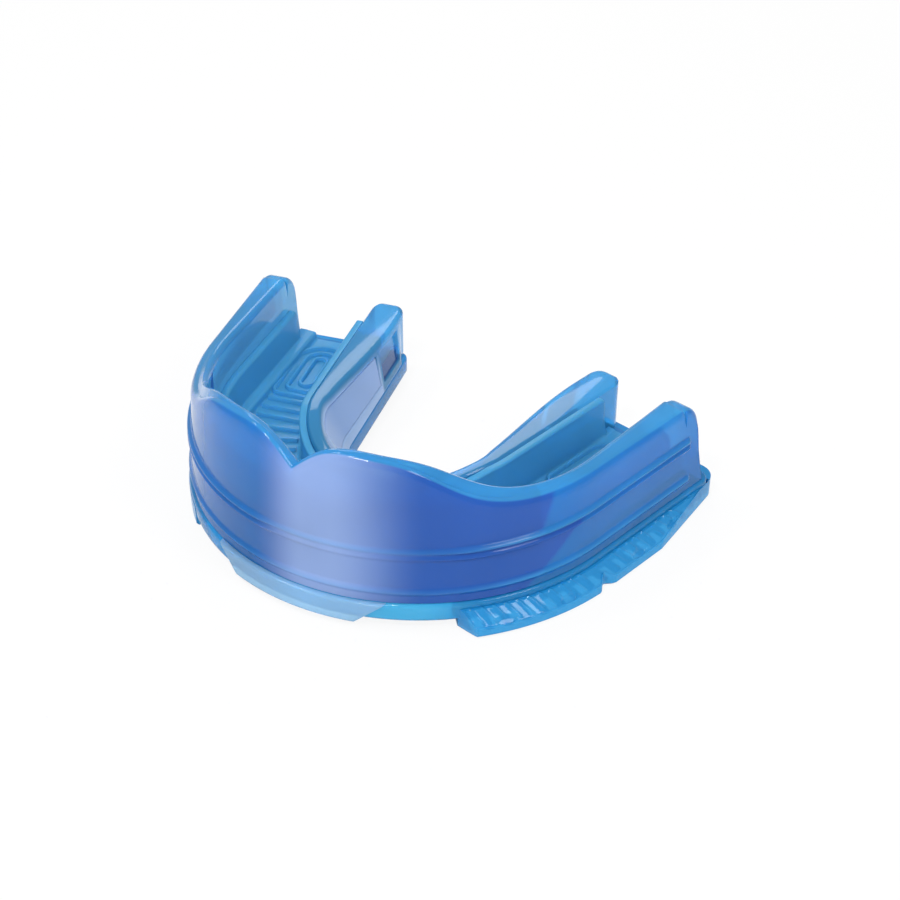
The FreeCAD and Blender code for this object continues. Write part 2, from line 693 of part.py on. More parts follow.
def tread_grooves():
    """Grooves across the underside of the tread pad, round the arc and then along the leg."""
    depth, wide = size("tread_depth"), size("tread_width")
    reach = size("arch_radius") + size("pad_proud") - size("tread_edge")
    step = math.degrees(size("tread_pitch") / size("arch_radius"))
    first = size("pad_front_angle") + step
    last = 90 - size("leg_splay")
    length = "Sizes.pad_inset + Sizes.pad_proud - 2 * Sizes.tread_edge"
    grooves = []
    for index in range(int((last - first) / step) + 1):
        inward = FreeCAD.Vector(size("arch_radius") - size("pad_inset") + size("tread_edge"), -wide / 2, 0)
        place = on_arc(first + index * step, 0).multiply(FreeCAD.Placement(inward, FreeCAD.Rotation()))
        grooves.append(box(f"arc_groove_{index}", length, "Sizes.tread_width", "Sizes.tread_depth", place))
    run = size("pad_leg") - size("tread_edge")
    for index in range(int(run / size("tread_pitch"))):
        place = on_leg(size("pad_inset") - size("tread_edge"), (index + 0.5) * size("tread_pitch"), 0)
        grooves.append(box(f"leg_groove_{index}", length, "Sizes.tread_width", "Sizes.tread_depth", place))
    return grooves


def build():
    block = arch_block("shield_block", ARCH_RADIUS, OUTER_SPLAY, "Sizes.shield_leg", "Sizes.foot_level",
                       "Sizes.lobe_height + Sizes.shield_wall", "-Sizes.shield_draft")
    insert = sector("front_insert", f"({SHIELD_INSIDE})", "Sizes.insert_wall", "Sizes.insert_bottom",
                    "Sizes.insert_top", "Sizes.insert_angle")
    shield = outer_shield(block, insert)
    rails = [
        rail("mid_rail", "Sizes.mid_rail_level", "Sizes.mid_rail_height", "Sizes.mid_rail_proud", block),
        rail("low_rail", "Sizes.low_rail_level", "Sizes.low_rail_height", "Sizes.low_rail_proud", block),
    ]
    plate = bite_plate()
    wall, panel_right, panel_left, posts = lingual_pieces()
    liner = gel_liner(posts)
    ribs = channel_ribs()
    bumper = boolean("Cut", "front_bumper", front_bumper(), plate)
    pad_right = tread_pad()
    pad_left = boolean("Cut", "tread_pad_left", mirrored_copy("pad_left_full", pad_right), left_lobe())
    return [shield, insert, *rails, plate, wall, panel_right, panel_left, liner, *ribs, bumper,
            pad_right, pad_left]


pieces = build()
doc.recompute()

for item in doc.Objects:
    faults = {"Invalid", "Error"} & set(item.State)
    assert not faults, f"{item.Label}: {sorted(faults)}"
os.makedirs("parts", exist_ok=True)
for piece in pieces:
    shape = piece.Shape
    assert not shape.isNull() and shape.isValid(), piece.Label
    print(piece.Label, len(shape.Solids), "solids", round(shape.Volume, 1), "mm3",
          shape.optimalBoundingBox(False))
    shape.exportStep(f"parts/{piece.Label}.step")
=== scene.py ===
import bmesh
import bpy
import math
import numpy as np
from mathutils import Matrix, Vector


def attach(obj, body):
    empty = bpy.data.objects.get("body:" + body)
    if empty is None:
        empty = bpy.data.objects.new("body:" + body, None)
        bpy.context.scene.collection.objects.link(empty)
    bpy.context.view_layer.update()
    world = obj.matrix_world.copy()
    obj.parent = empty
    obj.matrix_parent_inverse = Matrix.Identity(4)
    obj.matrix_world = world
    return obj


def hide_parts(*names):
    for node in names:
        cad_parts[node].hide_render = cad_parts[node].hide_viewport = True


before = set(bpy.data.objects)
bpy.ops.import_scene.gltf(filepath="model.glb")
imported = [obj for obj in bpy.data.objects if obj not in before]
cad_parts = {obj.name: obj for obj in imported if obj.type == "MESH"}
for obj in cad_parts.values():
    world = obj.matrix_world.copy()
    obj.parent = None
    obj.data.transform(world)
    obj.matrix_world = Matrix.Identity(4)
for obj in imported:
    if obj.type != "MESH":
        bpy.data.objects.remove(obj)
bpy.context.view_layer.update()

# Lengths are in millimetres. Along the arch, s is the distance from its front, negative on the left. An inset is
# measured inwards from the foot of the shield, and "along" is the distance behind the end of the front arc.
MM = 0.001
R = 26.5
SPLAY = math.radians(12.5)
CHANNEL_SPLAY = math.radians(8.7)
CENTRE = 3.997
ARC = R * (math.pi / 2 - SPLAY)
FOOT = 3.4
DRAFT = math.tan(math.radians(4.0))
WALL = 3.0
PALATE = 18.2
PLATE_BOTTOM = 1.2


def spot(s, inset):
    """Plan point at the distance s round the arch and the inset from the foot of the shield."""
    side = 1.0 if s >= 0 else -1.0
    a = abs(s)
    r = R - inset
    if a <= ARC:
        phi = a / R
        return side * r * math.sin(phi), CENTRE - r * math.cos(phi)
    t = a - ARC
    return (side * (r * math.cos(SPLAY) + t * math.sin(SPLAY)),
            CENTRE - r * math.sin(SPLAY) + t * math.cos(SPLAY))


def along_of(s):
    return max(0.0, abs(s) - ARC)


def wall_inset(s):
    """Inset of the shield's inner face, which splays less than the outer one."""
    a = along_of(s)
    turn = SPLAY - CHANNEL_SPLAY
    r = R - WALL
    knee = r * math.sin(turn)
    if a <= knee:
        return R - math.sqrt(r * r - a * a)
    return R - r * math.cos(turn) + (a - knee) * math.tan(turn)


def natural_spline(xs, ys):
    """The cubic through the points whose curvature ends at nothing, as a function of x."""
    xs, ys = np.array(xs, float), np.array(ys, float)
    n = len(xs)
    h = np.diff(xs)
    a = np.eye(n)
    b = np.zeros(n)
    for i in range(1, n - 1):
        a[i, i - 1], a[i, i], a[i, i + 1] = h[i - 1], 2 * (h[i - 1] + h[i]), h[i]
        b[i] = 6 * ((ys[i + 1] - ys[i]) / h[i] - (ys[i] - ys[i - 1]) / h[i - 1])
    m = np.linalg.solve(a, b)

    def value(x):
        x = min(max(x, xs[0]), xs[-1])
        i = min(int(np.searchsorted(xs, x, side="right")) - 1, n - 2)
        i = max(i, 0)
        p, q = xs[i + 1] - x, x - xs[i]
        return float((m[i] * p ** 3 + m[i + 1] * q ** 3) / (6 * h[i])
                     + (ys[i] / h[i] - m[i] * h[i] / 6) * p + (ys[i + 1] / h[i] - m[i + 1] * h[i] / 6) * q)
    return value


def ease(x):
    x = min(max(x, 0.0), 1.0)
    return x * x * (3 - 2 * x)


def bump(x, centre, half):
    """1 at the centre, 0 at half away and beyond, smooth."""
    return ease(1 - abs(x - centre) / half)


def eased_end(left, radius):
    """What a rounded end of this radius takes off, left before the end."""
    return radius - math.sqrt(max(0.0, radius ** 2 - (radius - min(left, radius)) ** 2))


# Meshes
def mesh_piece(name, verts, faces, material, smooth=40.0, tones=None):
    """A closed mesh with its faces turned outwards; smooth is the angle in degrees from which an edge is sharp."""
    mesh = bpy.data.meshes.new(name)
    mesh.from_pydata([(x * MM, y * MM, z * MM) for x, y, z in verts], [], faces)
    mesh.validate()
    form = bmesh.new()
    form.from_mesh(mesh)
    if form.calc_volume(signed=True) < 0:
        bmesh.ops.reverse_faces(form, faces=form.faces)
    form.to_mesh(mesh)
    form.free()
    obj = bpy.data.objects.new(name, mesh)
    bpy.context.scene.collection.objects.link(obj)
    mesh.shade_smooth()
    mesh.set_sharp_from_angle(angle=math.radians(smooth))
    obj.data.materials.append(material)
    if tones:
        layer = mesh.color_attributes.new("tone", "FLOAT_COLOR", "POINT")
        layer.data.foreach_set("color", [c for tone in tones for c in tone])
    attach(obj, "root")
    return obj


def rounded(corners, radii, steps=4):
    """A closed profile with each corner eased by its radius."""
    out = []
    n = len(corners)
    for i in range(n):
        c = np.array(corners[i], float)
        r = radii[i]
        if r <= 0:
            out.append(tuple(c))
            continue
        p, q = np.array(corners[i - 1], float) - c, np.array(corners[(i + 1) % n], float) - c
        lp, lq = np.linalg.norm(p), np.linalg.norm(q)
        a = c + p / max(lp, 1e-9) * min(r, 0.45 * lp)
        b = c + q / max(lq, 1e-9) * min(r, 0.45 * lq)
        for k in range(steps + 1):
            t = k / steps
            out.append(tuple((1 - t) ** 2 * a + 2 * t * (1 - t) * c + t * t * b))
    return out


def skin(rows, n, turned=False):
    """Faces of a closed tube through rows rings of n points, with both ends shut."""
    faces = []
    for i in range(rows - 1):
        for k in range(n):
            a, b = i * n + k, i * n + (k + 1) % n
            faces.append((a, a + n, b + n, b) if turned else (a, b, b + n, a + n))
    first, last = tuple(range(n)), tuple(range((rows - 1) * n, rows * n))
    faces.append(first if turned else tuple(reversed(first)))
    faces.append(tuple(reversed(last)) if turned else last)
    return faces


def loft(name, stations, profile, material, smooth=40.0, tone=None):
    """A skin through the profile (inset, z) at each station along the arch; tone colours its points."""
    rings = [profile(s) for s in stations]
    n = len(rings[0])
    verts = [(*spot(s, p[0]), p[1]) for s, ring in zip(stations, rings) for p in ring]
    tones = [tone(s, p, k) for s, ring in zip(stations, rings) for k, p in enumerate(ring)] if tone else None
    return mesh_piece(name, verts, skin(len(stations), n), material, smooth, tones)


def spread(*parts):
    """Stations from (start, end, step) runs, in order and without repeats."""
    out = []
    for start, end, step in parts:
        count = max(1, round((end - start) / step))
        out += [start + (end - start) * i / count for i in range(count + 1)]
    clean = [out[0]]
    for v in sorted(out):
        if v - clean[-1] > 1e-4:
            clean.append(v)
    return clean


def both_sides(half):
    return sorted([-v for v in half if v > 1e-6] + list(half))


# Materials
DRIFT_SCALE, FLOW_SCALE = 90.0, 600.0
PLASTIC_IOR, COAT_IOR, COAT_ROUGHNESS = 1.13, 1.45, 0.04


def plastic(name, colour, transmission, roughness, coat=0.6, toned=False):
    """Clear moulded plastic with a soft drift of colour, faint flow marks and a gloss coat.
    A toned one takes its colour and clearness from the mesh, where inner layers show through."""
    mat = bpy.data.materials.new(name)
    mat.use_nodes = True
    tree = mat.node_tree
    n, link = tree.nodes, tree.links
    bsdf = n["Principled BSDF"]
    where = n.new("ShaderNodeTexCoord")
    drift = n.new("ShaderNodeTexNoise")
    drift.inputs["Scale"].default_value = DRIFT_SCALE
    drift.inputs["Detail"].default_value = 1.0
    link.new(where.outputs["Object"], drift.inputs["Vector"])
    strength = n.new("ShaderNodeMapRange")
    strength.inputs["From Min"].default_value = 0.3
    strength.inputs["From Max"].default_value = 0.7
    strength.inputs["To Min"].default_value = 0.9
    strength.inputs["To Max"].default_value = 1.04
    link.new(drift.outputs["Fac"], strength.inputs["Value"])
    shade = n.new("ShaderNodeHueSaturation")
    shade.inputs["Color"].default_value = (*colour, 1)
    link.new(strength.outputs["Result"], shade.inputs["Value"])
    link.new(shade.outputs["Color"], bsdf.inputs["Base Color"])
    bsdf.inputs["Transmission Weight"].default_value = transmission
    if toned:
        tone = n.new("ShaderNodeAttribute")
        tone.attribute_name = "tone"
        link.new(tone.outputs["Color"], shade.inputs["Color"])
        link.new(tone.outputs["Alpha"], bsdf.inputs["Transmission Weight"])
    flow = n.new("ShaderNodeTexNoise")
    flow.inputs["Scale"].default_value = FLOW_SCALE
    flow.inputs["Detail"].default_value = 2.0
    link.new(where.outputs["Object"], flow.inputs["Vector"])
    relief = n.new("ShaderNodeBump")
    relief.inputs["Strength"].default_value = 0.03
    relief.inputs["Distance"].default_value = 0.0002
    link.new(flow.outputs["Fac"], relief.inputs["Height"])
    link.new(relief.outputs["Normal"], bsdf.inputs["Normal"])
    bsdf.inputs["Roughness"].default_value = roughness
    bsdf.inputs["IOR"].default_value = PLASTIC_IOR
    bsdf.inputs["Coat Weight"].default_value = coat
    bsdf.inputs["Coat Roughness"].default_value = COAT_ROUGHNESS
    bsdf.inputs["Coat IOR"].default_value = COAT_IOR
    return mat


toned = plastic("clear_blue_toned", (0.04, 0.34, 0.76), 0.5, 0.12, toned=True)
pale = plastic("clear_pale_blue", (0.40, 0.70, 0.97), 0.5, 0.2)
indigo = plastic("clear_indigo", (0.05, 0.20, 0.66), 0.45, 0.25, coat=0.0)
lavender = plastic("clear_lavender", (0.36, 0.56, 0.92), 0.3, 0.3)
deep = plastic("clear_deep_cyan", (0.02, 0.31, 0.70), 0.2, 0.12)
gel = plastic("clear_gel", (0.13, 0.58, 0.95), 0.5, 0.15, coat=0.1)

# Tones of the pieces whose colour changes from place to place; some of these tones are painted light and shade
BLUE, BRIGHT = (0.02, 0.27, 0.76), (0.06, 0.43, 0.87)
INDIGO, LAVENDER = (0.02, 0.12, 0.52), (0.30, 0.44, 0.80)
PALE, PALATE_REFLECTION = (0.18, 0.62, 0.98), (0.42, 0.62, 0.95)
PLATE_FRONT, PLATE_LEG = (0.08, 0.58, 0.98), (0.02, 0.36, 0.82)
CLEAR = 0.5


def blend(a, b, t):
    return tuple(p + (q - p) * t for p, q in zip(a, b))


def insert_edge(z):
    """Where the indigo zone ends on the right: its edge slopes more below the mid rail than above it."""
    return 28.5 + (z - 10.6) * 0.4 if z > 9.6 else 28.0 + (z - 4.9) * 1.25


def shield_tone(s, z, face):
    """Colour and clearness of the shield: indigo where the impact insert lies behind it, a painted lavender sheen at
    the front, and painted light that makes the left of the front, the rim and the inner face lighter.
    """
    # Painted light: the rim is painted lighter (BRIGHT) as if lit from above, and the inner face paler (PALE) as if
    # lit through the wall.
    colour, clear = {"outer": BLUE, "rim": BRIGHT, "inner": PALE}[face], CLEAR
    if face == "outer":
        # The indigo of the insert behind the wall is its own colour; on the left it is kept weak and only low down,
        # so that the left of the front is painted lighter: painted light.
        left = 0.4 * ease((13.5 - z) / 4.0)
        insert_tint_with_lit_left = ease((insert_edge(z) - s) / 0.8 + 0.5) * (left + (1 - left) * ease((s + 6.0) / 6.0))
        colour = blend(colour, INDIGO, insert_tint_with_lit_left)
        clear -= 0.2 * insert_tint_with_lit_left
        # Painted sheen: a lavender band down the front, painted lighter and a little less clear in place of a soft
        # light falling on it.
        front_sheen = ease((s + 5.5) / 7.0) * ease((15.5 - s) / 11.0)
        colour = blend(colour, LAVENDER, front_sheen)
        clear -= 0.1 * front_sheen
    return (*colour, clear)


# Outer shield: a leaning wall whose rim has two lobes, a notch between them, dips and low rear ends
SHIELD_LEG = 18.8
CORNER_A, CORNER_Z, CORNER_R = 15.7, 11.6, 2.4
RIM_ROUND, RIM_OUT, FOOT_ROUND = 0.8, 0.8, 0.15
OUTER_STEPS, ROUND_STEPS, TOP_STEPS, INNER_STEPS = 20, 6, 3, 6
RIM_STATIONS = [(0, 17.8), (3.4, 20.5), (8.6, 20.9), (13.4, 19.56), (18.2, 16.1), (26.5, 14.3), (45.3, 13.3)]
rim_curve = natural_spline(*zip(*RIM_STATIONS))


def rim_height(s, inset):
    a = along_of(s)
    z = rim_curve(abs(spot(s, inset)[0]))
    if a > CORNER_A:
        if a < CORNER_A + CORNER_R - 0.02:
            z = min(z, CORNER_Z + math.sqrt(CORNER_R ** 2 - (a - CORNER_A) ** 2))
        else:
            behind = a - CORNER_A - CORNER_R
            z = min(z, CORNER_Z - behind * (CORNER_Z - FOOT) / (SHIELD_LEG - CORNER_A - CORNER_R))
    return max(z, FOOT + 0.02)


def rim_round(s, inset, height):
    """Height of the rim's rounding, more where the rim slopes, so that it stays round across the slope."""
    slope = (rim_height(s + 0.05, inset) - rim_height(s - 0.05, inset)) / 0.1
    return min(RIM_ROUND * math.hypot(1, slope), 0.45 * (height - FOOT))


def shield_profile(s):
    inner = wall_inset(s)
    zo, zi = rim_height(s, RIM_OUT), rim_height(s, inner)
    ro, ri = rim_round(s, RIM_OUT, zo), rim_round(s, inner, zi)
    top = DRAFT * (zo - FOOT)
    ring = [(FOOT_ROUND, FOOT), (0.0, FOOT + min(FOOT_ROUND, 0.3 * (zo - FOOT)))]
    low, high = ring[-1][1], zo - ro
    for k in range(1, OUTER_STEPS + 1):
        z = low + (high - low) * k / OUTER_STEPS
        ring.append((DRAFT * (z - FOOT), z))
    for k in range(1, ROUND_STEPS):
        t = math.pi / 2 * k / ROUND_STEPS
        ring.append((top + RIM_ROUND * (1 - math.cos(t)), zo - ro + ro * math.sin(t)))
    d0, d1 = top + RIM_ROUND, inner - RIM_ROUND
    for k in range(TOP_STEPS + 1):
        t = k / TOP_STEPS
        ring.append((d0 + (d1 - d0) * t, zo + (zi - zo) * t))
    for k in range(1, ROUND_STEPS):
        t = math.pi / 2 * k / ROUND_STEPS
        ring.append((inner - RIM_ROUND * (1 - math.sin(t)), zi - ri + ri * math.cos(t)))
    for k in range(INNER_STEPS + 1):
        ring.append((inner, zi - ri + (FOOT - zi + ri) * k / INNER_STEPS))
    return ring


def shield_point_tone(s, p, k):
    face = "outer" if k < OUTER_STEPS + 5 else "rim" if k < OUTER_STEPS + 16 else "inner"
    return shield_tone(s, p[1], face)


CORNER_S, CORNER_END = ARC + CORNER_A, ARC + CORNER_A + CORNER_R
shield_half = spread((0, 5, 0.2), (5, ARC, 0.4), (ARC, CORNER_S, 0.4),
                     (CORNER_S, CORNER_END, 0.12), (CORNER_END, ARC + SHIELD_LEG, 0.08))
shield = loft("outer_shield_wall", both_sides(shield_half), shield_profile, toned, tone=shield_point_tone)
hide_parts("outer_shield")

# Rails round the shield
RAIL_END, RAIL_TAPER, RAIL_STEPS = ARC + 16.4, 0.8, 16
MID_LEVEL, LOW_LEVEL, MID_CREST = 9.6, 4.95, 10.05
# Ridges across a rail: offset from its middle, half width and share of what it stands out
MID_RIDGES = [(0.45, 0.42, 1.0), (-0.4, 0.5, 0.8), (0.0, 0.95, 0.25)]
LOW_RIDGES = [(0.0, 0.6, 1.0)]


def rail_tone(s, p, k):
    """Painted highlight: the top of each rail is painted a little brighter than the wall, most of all along the legs.
    """
    colour = shield_tone(s, p[1], "outer")
    crest_highlight = max(bump(p[1], MID_CREST, 0.5), bump(p[1], LOW_LEVEL, 0.5))
    return (*blend(colour[:3], BRIGHT, crest_highlight * (0.2 + 0.6 * ease((abs(s) - 16.0) / 16.0))), colour[3])


def rail_band(name, node, level, half, ridges, proud, soft):
    """A band on the leaning wall; soft(s), from 0 to 1, is how far it melts into the wall."""
    def profile(s):
        swell = proud * (1 - eased_end((RAIL_END - abs(s)) / RAIL_TAPER, 1.0))
        melt = soft(s)
        back = DRAFT * (level - FOOT) + 0.2
        ring = [(back, level - half), (back, level + half)]
        for k in range(RAIL_STEPS + 1):
            v = 1 - 2 * k / RAIL_STEPS
            z = level + v * half
            rise = sum(share * bump(v * half, offset, width) for offset, width, share in ridges)
            rise = min(rise, 1.0) * (1 - 0.6 * melt) + 0.15 * melt * bump(v * half, 0, half)
            ring.append((DRAFT * (z - FOOT) - swell * rise, z))
        return ring
    stations = both_sides(spread((0, RAIL_END - 1, 0.5), (RAIL_END - 1, RAIL_END, 0.1)))
    obj = loft(name, stations, profile, toned, 60, rail_tone)
    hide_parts(node)


def front_melt(s):
    return ease((s + 4.5) / 3.0) * ease((20.0 - s) / 6.0)


rail_band("mid_rail_band", "mid_rail", MID_LEVEL, 0.95, MID_RIDGES, 0.45, front_melt)
rail_band("low_rail_band", "low_rail", LOW_LEVEL, 0.65, LOW_RIDGES, 0.3, lambda s: 0.35 * front_melt(s))

# Bite plate
PLATE_END, PLATE_PROUD, PLATE_CORNER = ARC + 20.2, 0.3, 1.2


def plate_profile(s):
    pull = eased_end(PLATE_END - abs(s), PLATE_CORNER)
    outer, inner = -PLATE_PROUD + pull, PALATE - 0.6 * pull
    corners = [(outer, PLATE_BOTTOM), (outer, FOOT), (inner, FOOT), (inner, PLATE_BOTTOM)]
    return rounded(corners, [0.5, 0.5, 0.4, 0.4])


def plate_tone(s, p, k):
    """Brightest under the right of the front."""
    aside = max(ease((s - 14.0) / 8.0), ease((2.0 - s) / 8.0))
    return (*blend(PLATE_FRONT, PLATE_LEG, aside), CLEAR)


plate_half = spread((0, PLATE_END - PLATE_CORNER, 0.5), (PLATE_END - PLATE_CORNER, PLATE_END, 0.1))
plate = loft("bite_plate_tray", both_sides(plate_half), plate_profile, toned, tone=plate_tone)
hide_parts("bite_plate")

# Lingual wall, panels and end posts
LINGUAL_OUT, LINGUAL_LOW, LINGUAL_RISE = 13.6, 7.8, 2.0
POST_A, POST_INSET, POST_R, POST_ROUND = 19.4, 15.6, 2.0, 0.9
POST_SIDE, POST_BLEND = POST_INSET + POST_R, 17.2
PANEL_FROM, PANEL_TO = ARC - 13.3, ARC + 10.8
WINDOW_FROM, WINDOW_TO = ARC + 11.6, ARC + 17.1
PANEL_DEPTH, WINDOW_DEPTH = 0.5, 0.35
INLAY_BACK, INLAY_FACE = 0.48, 0.08


def lingual_top(s, inset):
    """Level of the wall's top: low behind the front teeth and higher beside the molars."""
    start = CENTRE - 13.5
    return LINGUAL_LOW + LINGUAL_RISE * ease((spot(s, inset)[1] - start) / 10.0)


def window_share(s):
    a = abs(s)
    return ease((a - WINDOW_FROM) / 0.2) * ease((WINDOW_TO - a) / 0.2)


def recess(s):
    a = abs(s)
    panel = ease((a - PANEL_FROM) / 0.4) * ease((PANEL_TO - a) / 0.2)
    return PANEL_DEPTH * panel + WINDOW_DEPTH * window_share(s)


def palate_edge(s):
    """Inset of the wall's top edge on the palate side: the rim widens towards the post."""
    return 15.1 + 2.5 * ease((abs(s) - ARC + 6.0) / 23.0)


def wall_profile(s):
    a = abs(s) - ARC
    outer, low, high = LINGUAL_OUT, PALATE, palate_edge(s)
    t = ease((a - POST_BLEND) / 2.0)
    low, high = low + (POST_SIDE - low) * t, high + (POST_SIDE - high) * t
    if a > POST_A:
        half = math.sqrt(max(POST_R ** 2 - (a - POST_A) ** 2, 0.0004))
        outer, low, high = POST_INSET - half, POST_INSET + half, POST_INSET + half
    top = lingual_top(s, POST_INSET) - eased_end(max(POST_A + POST_R - a, 0), POST_ROUND)

    def inner(z, depth=0.0):
        return low + (high - low) * (z - FOOT) / (top - FOOT) - depth
    depth = recess(s)
    z1, z2 = 4.5, top - 1.1
    mid = 0.5 * (z1 + z2)
    corners = [(outer, FOOT), (outer, top - 0.25), (outer + 0.25, top), (inner(top), top), (inner(z2), z2),
               (inner(z2 - 0.12, depth), z2 - 0.12), (inner(mid + 0.3, depth), mid + 0.3),
               (inner(mid - 0.3, depth), mid - 0.3), (inner(z1 + 0.12, depth), z1 + 0.12), (inner(z1), z1),
               (low, FOOT)]
    soft = min(0.4 + 0.35 * ease((a + 4.0) / 12.0), 0.4 * (inner(top) - outer))
    return rounded(corners, [0, 0.05, 0.1, max(soft, 0.001), 0.12, 0.05, 0, 0, 0.05, 0.12, 0.2])


def lingual_tone(s, p, k):
    """The palate face has a painted lavender reflection and is less clear, the rim and the posts are clear and the
    windows are dark.
    """
    inset, z = p[0], p[1]
    # Painted reflection: the palate face beside the panels is painted lavender and less clear.
    palate = ease((inset - palate_edge(s) - 0.1) / 0.3) * ease((ARC + 11.3 - abs(s)) / 0.4)
    window = window_share(s) * ease((7.2 - z) / 0.8)
    if inset < 15.0 or z < 4.55:
        window = 0.0
    return (*blend(blend(BRIGHT, PALATE_REFLECTION, palate), INDIGO, 0.8 * window), 0.55 - 0.3 * palate)


wall_half = spread((0, PANEL_FROM, 0.8), (PANEL_FROM, PANEL_FROM + 0.4, 0.2), (PANEL_FROM + 0.4, PANEL_TO - 0.2, 0.6),
                   (PANEL_TO - 0.2, PANEL_TO, 0.1), (PANEL_TO, WINDOW_FROM, 0.3),
                   (WINDOW_FROM, WINDOW_FROM + 0.2, 0.1), (WINDOW_FROM + 0.2, WINDOW_TO - 0.2, 0.4),
                   (WINDOW_TO - 0.2, WINDOW_TO, 0.1), (WINDOW_TO, ARC + POST_A, 0.3))
wall_half += [ARC + POST_A + POST_R * math.sin(1.5 * k / 10) for k in range(1, 11)]
lingual = loft("lingual_wall_and_posts", both_sides(wall_half), wall_profile, toned, tone=lingual_tone)
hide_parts("lingual_wall")


def panel_profile(s):
    top = lingual_top(s, POST_INSET)

    def face(z, depth):
        return PALATE + (palate_edge(s) - PALATE) * (z - FOOT) / (top - FOOT) - depth
    z1, z2 = 4.65, top - 1.25
    corners = [(face(z1, INLAY_BACK), z1), (face(z2, INLAY_BACK), z2),
               (face(z2, INLAY_FACE), z2), (face(z1, INLAY_FACE), z1)]
    return rounded(corners, [0, 0, 0.15, 0.15])


for side, word in ((1, "right"), (-1, "left")):
    marks = sorted(side * v for v in spread((PANEL_FROM + 0.45, PANEL_TO - 0.25, 0.6)))
    panel = loft(f"lingual_panel_inlay_{word}", marks, panel_profile, lavender)
    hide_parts(f"lingual_panel_{word}")

# Soft liner of the tooth channel
LINER_FLOOR, LINER_TOP, LINER_WALL = 4.2, 9.6, 0.9
LINER_BASE, LINER_LIP, LINER_BACK = FOOT + 0.02, 12.7, 13.57
LINER_FALL, LINER_FLAT, LINER_END = 15.9, 16.7, 18.7


def liner_profile(s):
    """A trough whose side walls fall to the floor near the rear ends, with a low step along the outer wall."""
    w = wall_inset(s) + 0.03
    low = min(LINER_TOP, lingual_top(s, 13.2) - 0.04)
    low -= (low - LINER_FLOOR - 0.1) * ease((along_of(s) - 16.4) / 0.6)
    side = LINER_TOP - (LINER_TOP - LINER_FLOOR - 1.15) * ease((along_of(s) - LINER_FALL) / 0.8)
    corners = [(w, LINER_BASE), (w, side), (w + LINER_WALL, side), (w + 0.95, LINER_FLOOR + 1.1),
               (w + 2.1, LINER_FLOOR + 1.0), (w + 2.15, LINER_FLOOR), (LINER_LIP, LINER_FLOOR), (LINER_LIP, low),
               (LINER_BACK, low), (LINER_BACK, LINER_BASE)]
    return rounded(corners, [0, 0.05, 0.5, 0.3, 0.35, 0.3, 0.5, 0.3, 0.03, 0])


liner_half = spread((0, ARC + LINER_FALL, 0.6), (ARC + LINER_FALL, ARC + LINER_FLAT, 0.1),
                    (ARC + LINER_FLAT, ARC + LINER_END, 0.5))
liner = loft("gel_liner_trough", both_sides(liner_half), liner_profile, gel)
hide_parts("gel_liner")

# Ribs on the channel floor: cross bars, and nested frames behind them
RIB_HEIGHT, BAR_WIDTH, FRAME_WIDTH = 0.5, 0.7, 0.6
BAR_COUNT, BAR_START, BAR_PITCH, BAR_INSET, BAR_LENGTH = 8, 4.45, 1.8, 5.7, 6.4
BAR_RADIUS = 14.3
FRAME_COUNT, FRAME_HALF, FRAME_STEP, FRAME_CORNER = 3, 0.85, 1.2, 0.9
FRAME_REAR, FRAME_FRONT, FRAME_INSET = 13.4, 8.05, 8.9
# Section of a rib, as shares of its width and height
RIB_SECTION = [(-0.5, 0.0), (-0.42, 0.7), (-0.22, 1.0), (0.22, 1.0), (0.42, 0.7), (0.5, 0.0)]


def rib_strip(verts, faces, path, width, height, closed):
    """A rounded bar along plan points (along, inset)."""
    n, m = len(path), len(RIB_SECTION)
    base = len(verts)
    pts = [np.array(p, float) for p in path]
    for i, p in enumerate(pts):
        before = pts[(i - 1) % n] if closed or i else p
        after = pts[(i + 1) % n] if closed or i < n - 1 else p
        d = after - before
        d /= max(np.linalg.norm(d), 1e-9)
        across = np.array((-d[1], d[0]))
        for u, v in RIB_SECTION:
            q = p + across * u * width
            verts.append((q[0], q[1], v * height))
    for i in range(n if closed else n - 1):
        here, there = base + i * m, base + ((i + 1) % n) * m
        for k in range(m):
            faces.append((here + k, here + (k + 1) % m, there + (k + 1) % m, there + k))
    if not closed:
        faces.append(tuple(base + k for k in reversed(range(m))))
        faces.append(tuple(base + (n - 1) * m + k for k in range(m)))


def arc_points(centre, radius, start, sweep, steps):
    return [(centre[0] + radius * math.cos(start + sweep * k / steps),
             centre[1] + radius * math.sin(start + sweep * k / steps)) for k in range(steps + 1)]


def frame_path(index):
    """A frame round at the rear and square with eased corners at the front; the smallest is round at both ends."""
    half = FRAME_HALF + FRAME_STEP * index
    front = FRAME_FRONT - FRAME_STEP * index
    path = arc_points((FRAME_REAR, FRAME_INSET), half, -math.pi / 2, math.pi, 12)
    if half <= FRAME_CORNER:
        return path + arc_points((front + half, FRAME_INSET), half, math.pi / 2, math.pi, 8)
    reach = half - FRAME_CORNER
    for shift, start in ((reach, math.pi / 2), (-reach, math.pi)):
        centre = (front + FRAME_CORNER, FRAME_INSET + shift)
        path += arc_points(centre, FRAME_CORNER, start, math.pi / 2, 4)
    return path


